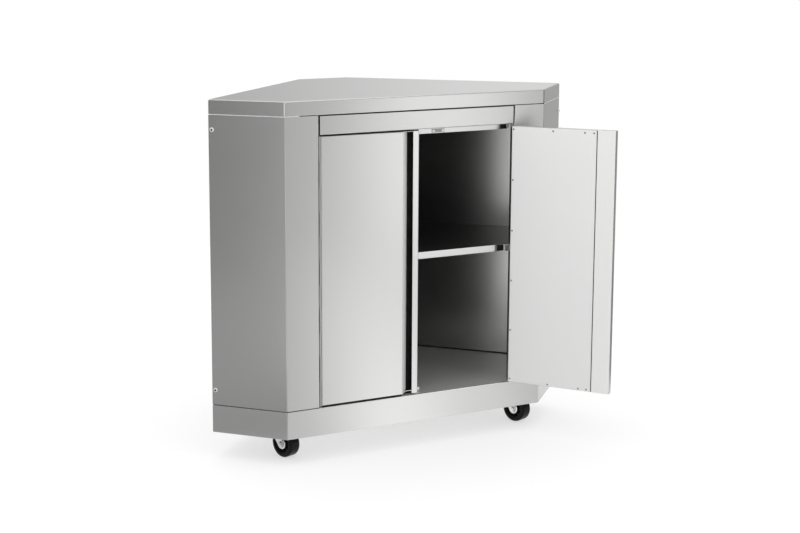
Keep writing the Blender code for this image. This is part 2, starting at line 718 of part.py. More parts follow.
# Doors, each about its hinge pin: hollow skin, inner liner and folded handle profile
for word, side in SIDES:
    turn = OPEN_ANGLE if side > 0 else 0
    fixed = empty(word + "_hinge_axis", cabinet, (HINGE_X * side, 0, 0))
    door = empty(word + "_door_pivot", cabinet, (HINGE_X * side, 0, 0), (0, 0, turn))
    mouth_start = DOOR_WIDTH - LIP_WIDTH - MOUTH_WIDTH
    flank_end = mouth_start + FLANK_RUN
    flank_depth = SKIN_DEPTH - SHEET
    outline = [(0, 0), (mouth_start, 0), (flank_end, flank_depth), (flank_end, SKIN_DEPTH), (0, SKIN_DEPTH)]
    slope = Vector((FLANK_RUN, flank_depth)).normalized()
    shift = SHEET / slope.y
    lean = slope.x / slope.y
    hollow = [(SHEET, SHEET), (mouth_start - shift + SHEET * lean, SHEET),
              (mouth_start - shift + flank_depth * lean, flank_depth), (SHEET, flank_depth)]
    skin = prism(word + "_door_skin", door_points(outline, side), DOOR_BOTTOM, DOOR_TOP, door)
    front_edges = [door_points([point], side)[0][0] for point in outline[:2]]
    soften(skin, FOLD_RADIUS, 2,
           lambda first, second: (first.y < SHEET and second.y < SHEET)
           and (abs(first.z - second.z) < SHEET or abs(first.x - front_edges[0]) < SHEET))
    cut(skin, prism(word + "_skin_hollow", door_points(hollow, side), DOOR_BOTTOM + SHEET, DOOR_TOP - SHEET,
                    door, home=cutters))
    window = rectangle((DOOR_RETURN, flank_depth - SHEET), (mouth_start - DOOR_RETURN, SKIN_DEPTH + OVERRUN))
    cut(skin, prism(word + "_skin_window", door_points(window, side), DOOR_BOTTOM + DOOR_RETURN,
                    DOOR_TOP - DOOR_RETURN, door, home=cutters))
    paint(skin, STEEL)

    liner_end = DOOR_WIDTH - HANDLE_STRIP
    liner = prism(word + "_door_liner",
                  door_points(rectangle((LINER_INSET, DOOR_THICKNESS - SHEET), (liner_end, DOOR_THICKNESS)),
                              side), DOOR_BOTTOM + LINER_INSET, DOOR_TOP - LINER_INSET, door)
    paint(liner, STEEL)

    strip_start = liner_end + FIT
    lip_edge = DOOR_WIDTH - LIP_WIDTH
    path = [(lip_edge, 0), (DOOR_WIDTH, 0), (DOOR_WIDTH, DOOR_THICKNESS), (strip_start, DOOR_THICKNESS)]
    handle = prism(word + "_handle_profile", door_points(sheet_outline(path, SHEET), side), DOOR_BOTTOM,
                   DOOR_TOP, door)
    cap_front = SHEET / 2
    cap_back = DOOR_THICKNESS - SHEET / 2
    cap_edge = DOOR_WIDTH - SHEET / 2
    cap_slope = mouth_start + (SHEET / 2 + FIT) / slope.y
    cap = [(cap_slope + cap_front * lean, cap_front), (cap_edge, cap_front), (cap_edge, cap_back),
           (cap_slope + flank_depth * lean, cap_back), (cap_slope + flank_depth * lean, flank_depth)]
    for level, low in (("lower", DOOR_BOTTOM + CAP_INSET), ("upper", DOOR_TOP - SHEET)):
        join(handle, prism("{}_handle_cap_{}".format(word, level), door_points(cap, side), low, low + SHEET,
                           door, home=cutters))
    paint(handle, STEEL)

    hinge_leaf(word + "_hinge_frame_leaf", fixed, side, 0)
    hinge_leaf(word + "_hinge_door_leaf", door, -side, 1)
    pin = turned(word + "_hinge_pin", [(PIN_RADIUS, DOOR_TOP), (PIN_RADIUS, DOOR_BOTTOM), (0, DOOR_BOTTOM),
                                       (0, DOOR_TOP)], PIN_SIDES, fixed)
    paint(pin, BRIGHT_STEEL)

# Channels under the floor for the caster plates
web = CASTER_HEIGHT + FIT
channels = (("front_caster_channel", CASTER_X, CASTER_Y, FRONT_CHANNEL_LENGTH),
            ("rear_caster_channel", REAR_CASTER_X, REAR_CASTER_Y, REAR_CHANNEL_LENGTH))
bolt_places = [(across * PLATE_BOLT_SPACING / 2, along * PLATE_BOLT_SPACING / 2)
               for across in (-1, 1) for along in (-1, 1)]
for name, across, back, length in channels:
    channel_top = BASE_TOP - BASE_SHEET - FIT
    half = CHANNEL_WIDTH / 2
    path = [(back - half, channel_top), (back - half, web), (back + half, web), (back + half, channel_top)]
    channel = prism(name, sheet_outline(path, CHANNEL_SHEET, CHANNEL_SHEET * 2), -length / 2, length / 2,
                    cabinet, axis="X")
    holes = []
    for side in (-1, 1):
        for place in bolt_places:
            hole = turned("bolt_hole", [(PLATE_BOLT_HOLE, web + CHANNEL_SHEET + OVERRUN),
                                        (PLATE_BOLT_HOLE, web - OVERRUN), (0, web - OVERRUN),
                                        (0, web + CHANNEL_SHEET + OVERRUN)], PIN_SIDES, None, home=cutters)
            hole.location = (across * side + place[0], back + place[1], 0)
            holes.append(hole)
    cut(channel, joined(name + "_holes", holes, cabinet))
    paint(channel, STEEL)

CORNERS = (("front_left", -CASTER_X, CASTER_Y), ("front_right", CASTER_X, CASTER_Y),
           ("rear_left", -REAR_CASTER_X, REAR_CASTER_Y), ("rear_right", REAR_CASTER_X, REAR_CASTER_Y))

plate_low = CASTER_HEIGHT - PLATE_SHEET
race_line = plate_low - RACE_HEIGHT
crown_top = race_line - FIT - RACE_HEIGHT
crown_low = crown_top - CROWN_SHEET
leg_inner = WHEEL_WIDTH / 2 + WHEEL_SIDE_GAP
leg_outer = leg_inner + LEG_SHEET


def caster_plate(word, mount):
    """Top plate with its four bolts, upper ball race and king pin."""
    half = PLATE_SIZE / 2
    centre = half - PLATE_CORNER
    outline = []
    for index, (across, along) in enumerate(((1, 1), (-1, 1), (-1, -1), (1, -1))):
        start = math.pi / 2 * index
        outline += arc((across * centre, along * centre), PLATE_CORNER, start, start + math.pi / 2, 3)
    plate = prism(word + "_caster_plate", outline, plate_low, CASTER_HEIGHT, mount)
    low = plate_low - PLATE_BOLT_HEAD_HEIGHT
    nut = web + CHANNEL_SHEET + FIT
    bolts = []
    for place in bolt_places:
        profile = [(0, nut + PLATE_NUT_HEIGHT), (PLATE_BOLT_HEAD, nut + PLATE_NUT_HEIGHT),
                   (PLATE_BOLT_HEAD, nut), (PLATE_BOLT_RADIUS, nut), (PLATE_BOLT_RADIUS, plate_low + FIT),
                   (PLATE_BOLT_HEAD, plate_low + FIT), (PLATE_BOLT_HEAD, low), (0, low)]
        bolt = turned("bolt", profile, HEXAGON, None, home=cutters)
        bolt.location = (*place, 0)
        bolts.append(bolt)
    join(plate, joined(word + "_plate_bolts", bolts, mount))
    foot = crown_low - FIT
    profile = [(RACE_INNER, plate_low + FIT), (RACE_INNER, race_line), (KING_PIN_RADIUS, race_line),
               (KING_PIN_RADIUS, foot), (KING_PIN_HEAD, foot), (KING_PIN_HEAD, foot - KING_PIN_HEAD_HEIGHT),
               (0, foot - KING_PIN_HEAD_HEIGHT), (0, plate_low + FIT)]
    join(plate, turned(word + "_king_pin", profile, AXLE_SIDES, mount, home=cutters))
    return paint(plate, ZINC)


def caster_fork(word, swivel):
    """Crown with a lower ball race and two legs that hold the axle."""
    bore = KING_PIN_RADIUS + FIT
    profile = [(RACE_INNER, crown_top + RACE_HEIGHT), (RACE_OUTER, crown_top + RACE_HEIGHT),
               (RACE_OUTER, crown_top), (CROWN_RADIUS, crown_top), (CROWN_RADIUS, crown_low),
               (bore, crown_low), (bore, crown_top), (RACE_INNER, crown_top)]
    fork = turned(word + "_caster_fork", profile, CROWN_SIDES, swivel)
    leg_top = crown_top - FIT
    outline = [(-LEG_REAR, leg_top), (LEG_FRONT, leg_top), (LEG_FRONT, crown_low - LEG_BROW)]
    outline += arc((TRAIL, WHEEL_RADIUS), AXLE_BOSS, math.radians(20), math.radians(-150), 8)
    outline += [(-LEG_REAR, crown_low - LEG_SHOULDER)]
    for index, way in enumerate((-1, 1)):
        near, far = leg_inner * way, leg_outer * way
        join(fork, prism("{}_leg_{}".format(word, index), outline, min(near, far), max(near, far), swivel,
                         axis="Y", home=cutters))
    reach = leg_outer + OVERRUN
    hole = AXLE_RADIUS + AXLE_CLEARANCE
    bored = turned(word + "_axle_hole", [(hole, reach), (hole, -reach), (0, -reach), (0, reach)], AXLE_SIDES,
                   swivel, axis="Y", home=cutters)
    bored.location = (TRAIL, 0, WHEEL_RADIUS)
    return paint(cut(fork, bored), ZINC)


def caster_wheel(word, spin, swivel):
    """Axle bolt, hub with a web and rim, and the rubber tyre round it."""
    seat = leg_outer + FIT
    end = seat + AXLE_HEAD_HEIGHT
    profile = [(0, end), (AXLE_HEAD_RADIUS, end), (AXLE_HEAD_RADIUS, seat), (AXLE_RADIUS, seat),
               (AXLE_RADIUS, -seat), (AXLE_HEAD_RADIUS, -seat), (AXLE_HEAD_RADIUS, -end), (0, -end)]
    axle = turned(word + "_caster_axle", profile, AXLE_SIDES, swivel, axis="Y")
    axle.location = (TRAIL, 0, WHEEL_RADIUS)
    paint(axle, ZINC)

    bore = AXLE_RADIUS + AXLE_CLEARANCE
    rim = WHEEL_RADIUS - TREAD_DEPTH
    half = WHEEL_WIDTH / 2
    hub_half = leg_inner - FIT
    rim_half = half - TREAD_SHOULDER / 3
    web_half = WEB_WIDTH / 2
    under_rim = rim - RIM_SHEET
    profile = [(HUB_RADIUS, hub_half), (HUB_RADIUS, web_half), (under_rim, web_half), (under_rim, rim_half),
               (rim, rim_half), (rim, -rim_half), (under_rim, -rim_half), (under_rim, -web_half),
               (HUB_RADIUS, -web_half), (HUB_RADIUS, -hub_half), (bore, -hub_half), (bore, hub_half)]
    hub = turned(word + "_caster_hub", profile, HUB_SIDES, spin, axis="Y")
    paint(hub, NYLON)

    crowned = [(WHEEL_RADIUS + TREAD_SHOULDER * (math.sin(turn) - 1),
                half + TREAD_CROWN * (math.cos(turn) - 1))
               for turn in (0, math.radians(30), math.radians(60), math.radians(90))]
    profile = [(rim + FIT, half)] + crowned
    profile += [(radius, -height) for radius, height in reversed(crowned)] + [(rim + FIT, -half)]
    tyre = turned(word + "_caster_tyre", profile, TYRE_SIDES, spin, axis="Y")
    paint(tyre, RUBBER)


for word, across, back in CORNERS:
    mount = empty(word + "_caster_mount", cabinet, (across, back, 0))
    swivel = empty(word + "_swivel_axis", mount, (0, 0, 0), (0, 0, CASTER_YAW))
    spin = empty(word + "_wheel_axis", swivel, (TRAIL, 0, WHEEL_RADIUS))
    caster_plate(word, mount)
    caster_fork(word, swivel)
    caster_wheel(word, spin, swivel)

bpy.context.view_layer.update()
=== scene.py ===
import json
import math

import bmesh
import bpy
from mathutils import Matrix, Vector


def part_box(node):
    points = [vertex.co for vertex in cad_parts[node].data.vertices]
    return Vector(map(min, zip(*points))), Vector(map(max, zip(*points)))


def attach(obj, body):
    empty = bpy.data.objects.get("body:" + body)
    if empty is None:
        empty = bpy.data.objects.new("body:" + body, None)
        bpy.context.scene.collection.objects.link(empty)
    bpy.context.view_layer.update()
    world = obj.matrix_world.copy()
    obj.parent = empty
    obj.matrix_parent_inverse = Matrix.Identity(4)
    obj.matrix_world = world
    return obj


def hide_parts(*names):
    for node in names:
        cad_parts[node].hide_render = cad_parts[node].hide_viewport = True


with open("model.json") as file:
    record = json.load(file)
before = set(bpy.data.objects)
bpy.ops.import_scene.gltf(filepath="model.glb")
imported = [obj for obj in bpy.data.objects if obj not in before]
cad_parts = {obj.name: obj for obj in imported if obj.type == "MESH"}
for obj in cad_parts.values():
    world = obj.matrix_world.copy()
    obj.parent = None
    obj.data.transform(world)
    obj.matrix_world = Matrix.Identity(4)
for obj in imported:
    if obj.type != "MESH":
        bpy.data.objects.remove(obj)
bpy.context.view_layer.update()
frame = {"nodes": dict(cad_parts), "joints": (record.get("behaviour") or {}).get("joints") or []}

joints = {joint["name"]: joint for joint in frame["joints"]}
nodes = frame["nodes"]


# The photographer's place: to the left of the door front, a little above the worktop, with a long lens.
# The picture is a cut from a wider one, so the lens is shifted to keep the cabinet where it stands in it.
front_line = joints["left_door_hinge"]["pos_m"][1]
photo_place = Vector((-1.7881, -3.2694 + front_line, 1.2664))
photo_bearing = math.radians(24.832)
photo_drop = math.radians(9.1326)
photo_roll = math.radians(-0.1852)
camera = bpy.data.objects.new("camera", bpy.data.cameras.new("camera"))
bpy.context.scene.collection.objects.link(camera)
bpy.context.scene.camera = camera
camera.data.sensor_width = 36
camera.data.lens = 66.96
camera.data.shift_x = 0.0993
camera.data.shift_y = -0.0927
camera.data.clip_end = 60
ahead = Vector((math.sin(photo_bearing) * math.cos(photo_drop),
                math.cos(photo_bearing) * math.cos(photo_drop),
                -math.sin(photo_drop)))
level_right = ahead.cross(Vector((0, 0, 1))).normalized()
level_up = level_right.cross(ahead)
lens_right = level_right * math.cos(photo_roll) + level_up * math.sin(photo_roll)
lens_up = level_up * math.cos(photo_roll) - level_right * math.sin(photo_roll)
camera.matrix_world = Matrix((
    (lens_right.x, lens_up.x, -ahead.x, photo_place.x),
    (lens_right.y, lens_up.y, -ahead.y, photo_place.y),
    (lens_right.z, lens_up.z, -ahead.z, photo_place.z),
    (0, 0, 0, 1)))


# Base pan: one sheet of stainless steel folded down all round into a plinth band, its top the cabinet floor.
# The steel is brushed along the sheet, and its folded edges are painted brighter: a painted highlight.
def fill(tree, sockets, values):
    """Gives sockets their values, or joins them to the outputs of other steps."""
    for place, value in values.items():
        if isinstance(value, bpy.types.NodeSocket):
            tree.links.new(value, sockets[place])
        else:
            sockets[place].default_value = value


def step(tree, kind, *values, **settings):
    """One shader node of a finish, its sockets filled in order or by name, and its choices set."""
    made = tree.nodes.new("ShaderNode" + kind)
    for key, value in settings.items():
        if key not in made.inputs:
            setattr(made, key, value)
    fill(tree, made.inputs, dict(enumerate(values)))
    fill(tree, made.inputs, {key: value for key, value in settings.items() if key in made.inputs})
    return made


def reckon(tree, operation, *values):
    """The result of one sum on the values given."""
    return step(tree, "Math", *values, operation=operation).outputs[0]


def ranged(tree, value, low, high, start=0.0, stop=1.0, **settings):
    """A value brought from one range into another."""
    return step(tree, "MapRange", value, start, stop, low, high, **settings).outputs["Result"]


def cloud(tree, where, scale, **settings):
    """Soft noise of one size."""
    return step(tree, "TexNoise", Vector=where, Scale=scale, **settings).outputs["Fac"]


def blank(name):
    """A new finish: its material, its tree, its shader's sockets, and places that stay on the piece."""
    finish = bpy.data.materials.new(name)
    finish.use_nodes = True
    tree = finish.node_tree
    return finish, tree, tree.nodes["Principled BSDF"].inputs, step(tree, "TexCoord").outputs["Object"]


def brushed_steel(name, colour, roughness, grain, streak=1.0, metal=1.0, fold=0.0014):
    """Stainless steel with fine brush lines: upright, level, or along the sheet, and a painted highlight on
    its edges.
    """
    steel, tree, shader, here = blank(name)
    face = step(tree, "NewGeometry").outputs

    def lines(along, across, detail):
        """Noise drawn out into lines. On a sheet, the faces that lie flat have lines of their own."""
        stretch = (across, across, along) if grain == "upright" else (along, along, across)
        where = step(tree, "Mapping", Vector=here, Scale=stretch).outputs["Vector"]
        if grain == "sheet":
            flat = step(tree, "Mapping", Vector=here, Scale=(along, across, across)).outputs["Vector"]
            tilt = step(tree, "SeparateXYZ", face["True Normal"]).outputs["Z"]
            lying = reckon(tree, "GREATER_THAN", reckon(tree, "ABSOLUTE", tilt), 0.5)
            where = step(tree, "Mix", data_type="VECTOR", Factor=lying, A=where, B=flat).outputs["Result"]
        return cloud(tree, where, scale=1.0, Detail=detail, Roughness=0.6)

    def swing(noise, amount, middle=0.0):
        """Noise spread evenly to both sides of a middle value."""
        return ranged(tree, noise, low=middle - amount, high=middle + amount, start=0.3, stop=0.7)

    fine = lines(along=9.0, across=1700.0, detail=3.0)
    broad = lines(along=1.6, across=120.0, detail=4.0)
    handled = cloud(tree, here, scale=5.5, Detail=5.0, Roughness=0.6)

    # Painted highlight: edges, found where the rounded normal turns from the face's, are made lighter in
    # patches.
    rounded = step(tree, "Bevel", samples=4, Radius=fold).outputs["Normal"]
    turned = step(tree, "VectorMath", rounded, face["Normal"], operation="DOT_PRODUCT").outputs["Value"]
    folded = ranged(tree, turned, low=1.0, high=0.0, start=0.90, stop=0.995)
    patchy = cloud(tree, here, scale=160.0, Detail=3.0, Roughness=0.6)
    painted_edge_highlight = reckon(tree, "MULTIPLY", folded, ranged(tree, patchy, low=0.45, high=1.0, start=0.3, stop=0.7))
    edge_highlight_gain = 0.22

    shade = reckon(tree, "ADD", swing(fine, 0.012 * streak), swing(broad, 0.002 * streak))
    shade = reckon(tree, "ADD", shade, swing(handled, 0.005))
    brighter = reckon(tree, "ADD", reckon(tree, "MULTIPLY_ADD", painted_edge_highlight, edge_highlight_gain, shade), 1.0)
    rough = reckon(tree, "ADD", swing(fine, 0.009 * streak, roughness), swing(handled, 0.006))
    rough = reckon(tree, "ADD", rough, swing(broad, 0.003 * streak))
    relief = step(tree, "Bump", Strength=0.018 * streak, Distance=0.00006, Height=fine, Normal=rounded)
    fill(tree, shader, {
        "Metallic": metal,
        "Base Color": step(tree, "HueSaturation", Value=brighter, Color=(*colour, 1)).outputs["Color"],
        "Roughness": rough,
        "Normal": relief.outputs["Normal"]})
    return steel


def half_matt(name, grain, facing, colour, roughness, brightness, metal=0.10, matt_roughness=0.50,
              streak=1.0, fold=0.0014):
    """Brushed steel with another finish on the faces that look one way."""
    steel = brushed_steel(name, colour, roughness, grain, streak, fold=fold)
    same_way = 0.95
    tree = steel.node_tree
    shader = tree.nodes["Principled BSDF"].inputs
    normal = step(tree, "TexCoord").outputs["Normal"]
    looks = step(tree, "VectorMath", normal, facing, operation="DOT_PRODUCT").outputs["Value"]
    matt = reckon(tree, "GREATER_THAN", looks, same_way)
    rough = shader["Roughness"].links[0].from_socket
    tone = shader["Base Color"].links[0].from_socket
    # The faces that look one way also have their colour scaled by the brightness given.
    facing_tone = step(tree, "Mix", data_type="RGBA", blend_type="MULTIPLY", Factor=matt, A=tone,
                   B=(brightness, brightness, brightness, 1))
    fill(tree, shader, {
        "Metallic": step(tree, "Mix", Factor=matt, A=1.0, B=metal).outputs["Result"],
        "Roughness": step(tree, "Mix", Factor=matt, A=rough, B=matt_roughness).outputs["Result"],
        "Base Color": facing_tone.outputs["Result"]})
    return steel


def dress(finish, *names):
    """Gives CAD pieces their finish."""
    for name in names:
        for place in nodes[name].material_slots:
            place.material = finish


upward = (0, 0, 1)
band_steel = half_matt("base_brushed_stainless", "sheet", upward, (0.62, 0.62, 0.615), roughness=0.262,
                       brightness=1.1, metal=0.52, matt_roughness=0.46, streak=0.15, fold=0.0012)
dress(band_steel, "base_pan")


# Two channels of thicker folded sheet, welded under the floor, which carry the caster plates.
# They are left plain, with a duller mill finish than the outside of the cabinet.
channel_steel = brushed_steel("channel_mill_steel", (0.50, 0.50, 0.50), roughness=0.45, grain="level",
                              streak=1.4)
dress(channel_steel, "front_caster_channel", "rear_caster_channel")


# Swivel casters: a zinc plated plate, crown, fork and axle, bolted through the channel.
# The zinc is bright but slightly cloudy, as it comes out of the plating bath.
def graded(tree, value, stops, interpolation="LINEAR"):
    """A colour for each value, passing from stop to stop."""
    ramp = step(tree, "ValToRGB", value)
    ramp.color_ramp.interpolation = interpolation
    elements = ramp.color_ramp.elements
    while len(elements) < len(stops):
        elements.new(0.5)
    for element, (position, colour) in zip(elements, stops):
        element.position = position
        element.color = (*colour, 1)
    return ramp.outputs["Color"]


def cloudy_metal(name, colour, roughness, metal=1.0):
    """Plated steel with faint clouds and a fine grain."""
    plating, tree, shader, here = blank(name)
    clouds = cloud(tree, here, scale=90.0, Detail=5.0)
    specks = cloud(tree, here, scale=1400.0)
    rounded = step(tree, "Bevel", Radius=0.0006).outputs["Normal"]
    relief = step(tree, "Bump", Strength=0.12, Distance=0.0001, Height=specks, Normal=rounded)
    fill(tree, shader, {
        "Metallic": metal,
        "Base Color": graded(tree, clouds, ((0.32, [part * 0.82 for part in colour]), (0.68, colour))),
        "Roughness": ranged(tree, clouds, low=roughness - 0.08, high=roughness + 0.10),
        "Normal": relief.outputs["Normal"]})
    return plating


corners = ("front_left", "front_right", "rear_left", "rear_right")
zinc = cloudy_metal("zinc_plate", (0.84, 0.84, 0.85), roughness=0.24)
for corner in corners:
    dress(zinc, corner + "_caster_plate", corner + "_caster_fork")


# Caster wheels: a moulded black nylon hub with ribs between its bearing boss and its rim.
# A plain black rubber tyre is moulded round the rim, with a little grey dust on it. The hub turns on an axle
# with a nut and a washer at each end, and a pressed cover keeps dust out of the bearing.
def dark_moulding(name, colour, roughness, grain_size, dusty):
    """Moulded black rubber or nylon, with a grained skin and patches of dust."""
    moulding, tree, shader, here = blank(name)
    patches = cloud(tree, here, scale=60.0, Detail=6.0)
    skin = cloud(tree, here, scale=grain_size, Detail=4.0)
    relief = step(tree, "Bump", Strength=0.25, Distance=0.00015, Height=skin)
    fill(tree, shader, {
        "Base Color": graded(tree, patches, ((0.40, colour), (0.75, [part + dusty for part in colour]))),
        "Roughness": ranged(tree, patches, low=roughness - 0.08, high=roughness + 0.12),
        "Specular IOR Level": 0.15,
        "Normal": relief.outputs["Normal"]})
    return moulding


def piece(name, shape, finish, body):
    """A mesh made into a piece that rides on a body."""
    mesh = bpy.data.meshes.new(name)
    bmesh.ops.recalc_face_normals(shape, faces=shape.faces)
    shape.to_mesh(mesh)
    shape.free()
    mesh.materials.append(finish)
    mesh.shade_smooth()
    mesh.set_sharp_from_angle(angle=math.radians(32))
    made = bpy.data.objects.new(name, mesh)
    bpy.context.scene.collection.objects.link(made)
    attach(made, body)
    return made


def spun(profile, facets):
    """A closed profile of radius and height turned all the way round its own Z axis."""
    shape = bmesh.new()
    rim = [shape.verts.new((radius, 0, height)) for radius, height in profile]
    edges = [shape.edges.new(pair) for pair in zip(rim, rim[1:] + rim[:1])]
    bmesh.ops.spin(shape, geom=rim + edges, angle=math.tau, steps=facets, axis=(0, 0, 1), cent=(0, 0, 0),
                   use_merge=True)
    bmesh.ops.remove_doubles(shape, verts=shape.verts, dist=0.000002)
    return shape


def add_block(shape, stand, size):
    """Adds a plain block to a shape."""
    block = bmesh.ops.create_cube(shape, size=1)["verts"]
    bmesh.ops.transform(shape, verts=block, matrix=stand @ Matrix.Diagonal((*size, 1)))


def both_faces(profile):
    """A profile of the wheel's near half with its mirror image on the far half."""
    return profile + [(radius, -height) for radius, height in reversed(profile)]


def rounded_profile(points, radius, parts):
    """A closed profile with each corner rounded to one radius."""
    result = []
    share_of_side = 0.45
    for index, point in enumerate(points):
        tip = Vector(point)
        before = Vector(points[index - 1]) - tip
        after = Vector(points[(index + 1) % len(points)]) - tip
        size = min(radius, before.length * share_of_side, after.length * share_of_side)
        first = tip + before.normalized() * size
        last = tip + after.normalized() * size
        for share in [part / parts for part in range(parts + 1)]:
            result.append(tuple(first * (1 - share) ** 2 + tip * 2 * share * (1 - share) + last * share ** 2))
    return result


def standing(place, outward):
    """The stand of a round piece whose axis points outward from a place."""
    return Matrix.Translation(place) @ outward.to_track_quat("Z", "Y").to_matrix().to_4x4()


rubber = dark_moulding("tyre_rubber", (0.002, 0.002, 0.002), roughness=0.26, grain_size=1500.0, dusty=0.004)
black_nylon_and_shade = dark_moulding("hub_nylon", (0.012, 0.012, 0.013), roughness=0.40, grain_size=2200.0, dusty=0.010)
wheel_radius = 0.036
wheel_half = 0.0165
rim_radius = 0.026
tread_shoulder = 0.0045
tread_crown = 0.0060
tyre_profile = [(rim_radius + 0.0003, wheel_half)]
for turn in [math.radians(10 * part) for part in range(10)]:
    tyre_profile.append((wheel_radius + tread_shoulder * (math.sin(turn) - 1),
                         wheel_half + tread_crown * (math.cos(turn) - 1)))
hub_profile = [(0.0043, 0.0172), (0.0094, 0.0172), (0.0094, 0.0149), (0.0135, 0.0149), (0.0135, 0.0040),
               (0.0232, 0.0040), (0.0232, 0.0142), (rim_radius, 0.0142)]
rib_count = 8
rib_reach = 0.0184
rib_height = 0.0072
rib_size = (0.0104, 0.0018, 0.0068)
cover_profile = [(0.0096, 0.0171), (0.0116, 0.0171), (0.0126, 0.0166), (0.0140, 0.0163), (0.0144, 0.0157),
                 (0.0144, 0.0150), (0.0096, 0.0150)]
washer_profile = [(0.0041, 0.0203), (0.0041, 0.0210), (0.0072, 0.0210), (0.0072, 0.0203)]
shaft_profile = [(0.0, 0.0243), (0.0028, 0.0243), (0.0033, 0.0239), (0.0033, 0.0205), (0.0040, 0.0203)]
nut_radius = 0.0067
nut_depth = 0.0024
nut_place = 0.02235
for corner in corners:
    spin_joint = joints[corner + "_wheel_spin"]
    stand = standing(spin_joint["pos_m"], Vector(spin_joint["axis"]).normalized())
    wheel = corner + "_wheel"
    swivel = corner + "_swivel"
    shape = spun(both_faces(tyre_profile), facets=96)
    shape.transform(stand)
    tyre = piece(corner + "_tyre", shape, rubber, wheel)
    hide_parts(corner + "_caster_tyre")
    shape = spun(rounded_profile(both_faces(hub_profile), radius=0.0007, parts=3), facets=72)
    for index in range(rib_count):
        for way in (-1, 1):
            add_block(shape, Matrix.Rotation(math.tau * index / rib_count, 4, "Z")
                      @ Matrix.Translation((rib_reach, 0, rib_height * way)), rib_size)
    shape.transform(stand)
    hub = piece(corner + "_hub", shape, black_nylon_and_shade, wheel)
    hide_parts(corner + "_caster_hub")
    for way, face in ((1, "near"), (-1, "far")):
        facing = stand @ Matrix.Diagonal((1, 1, way, 1))
        shape = spun(cover_profile, facets=48)
        shape.transform(facing)
        piece("{}_{}_dust_cover".format(corner, face), shape, zinc, wheel)
        shape = spun(washer_profile, facets=32)
        shape.transform(facing)
        piece("{}_{}_axle_washer".format(corner, face), shape, zinc, swivel)
        shape = bmesh.new()
        bmesh.ops.create_cone(shape, cap_ends=True, segments=6, radius1=nut_radius, radius2=nut_radius,
                              depth=nut_depth)
        bmesh.ops.bevel(shape, geom=shape.edges[:], offset=0.0004, segments=2, affect="EDGES")
        shape.transform(stand @ Matrix.Translation((0, 0, nut_place * way)))
        piece("{}_{}_axle_nut".format(corner, face), shape, zinc, swivel)
    shape = spun(both_faces(shaft_profile), facets=32)
    shape.transform(stand)
    shaft = piece(corner + "_axle", shape, zinc, swivel)
    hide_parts(corner + "_caster_axle")


# Side panels: one tall sheet each, folded round the front corner, with a return beside the door.
# They are brushed upright. Two domed bolts near each rear edge join them to the back panels, and a black disc
# in each bolt's head is painted shade for the dark of its hole.
side_steel = brushed_steel("side_brushed_stainless", (0.58, 0.58, 0.575), roughness=0.262, grain="upright",
                           streak=0.15)
dress(side_steel, "left_side_panel", "right_side_panel")
bolt_steel = cloudy_metal("bright_bolt_steel", (0.96, 0.96, 0.95), roughness=0.30, metal=0.15)
slant = math.sqrt(0.5)
sides = (("left", -1), ("right", 1))
bolt_reach = 0.50546
bolt_depth = 0.13676
bolt_heights = (("lower", 0.1783), ("upper", 0.8394))
socket_shade_profile = [(0.0, 0.0031), (0.0016, 0.0030), (0.0026, 0.0026), (0.0028, 0.0022), (0.0, 0.0022)]
for side, way in sides:
    outward = Vector((slant * way, -slant, 0))
    for level, height in bolt_heights:
        dress(bolt_steel, "{}_side_bolt_{}".format(side, level))
        shape = spun(socket_shade_profile, facets=24)
        shape.transform(standing((bolt_reach * way, front_line + bolt_depth, height), outward))
        piece("{}_{}_bolt_plug".format(side, level), shape, black_nylon_and_shade, "cabinet")


# Back panels and the rear corner panel: plain sheets with folded flanges, joined by blind rivets.
# The same rivets hold the shelf brackets through the back panels.
back_steel = brushed_steel("back_brushed_stainless", (0.48, 0.48, 0.475), roughness=0.24, grain="upright",
                           streak=0.8)
dress(back_steel, "left_back_panel", "right_back_panel", "rear_corner_panel")
half_rear = 0.0757
wall_back = front_line + 0.5806
rivet_profile = [(0.0, 0.0011), (0.0007, 0.0011), (0.0008, 0.0008), (0.0014, 0.0008), (0.0022, 0.0007),
                 (0.0029, 0.0003), (0.0031, 0.0), (0.0, 0.0)]
rivet_from_corner = 0.008
rivet_heights = (0.175, 0.345, 0.510, 0.675, 0.845)
bracket_middle = 0.3088
bracket_rivets = (-0.100, 0.100)
bracket_height = 0.478
flange_step = 0.0013


def rivet(name, place, outward):
    """A blind rivet's head, flat side on the sheet."""
    shape = spun(rivet_profile, facets=24)
    shape.transform(standing(place, outward))
    piece(name, shape, zinc, "cabinet")


for side, way in sides:
    outward = Vector((slant * way, slant, 0))
    along = Vector((slant * way, -slant, 0))
    corner_place = Vector((half_rear * way, wall_back, 0))
    for index, height in enumerate(rivet_heights):
        place = corner_place + along * rivet_from_corner + Vector((0, 0, height))
        rivet("{}_rear_rivet_{}".format(side, index + 1), place, outward)
    for index, reach in enumerate(bracket_rivets):
        place = corner_place + along * (bracket_middle + reach) - outward * flange_step
        rivet("{}_bracket_rivet_{}".format(side, index + 1), place + Vector((0, 0, bracket_height)), outward)


# Dark sealant: a narrow fillet run by hand along the foot of the walls, where they meet the floor.
# It follows both long walls and the rear corner, and closes the seam to the light.
def loft(shape, rows):
    """Joins rows of points into one strip, closed at both ends."""
    for row, following in zip(rows, rows[1:]):
        for index in range(len(row)):
            after = (index + 1) % len(row)
            shape.faces.new((row[index], row[after], following[after], following[index]))
    shape.faces.new(rows[0])
    shape.faces.new(rows[-1])


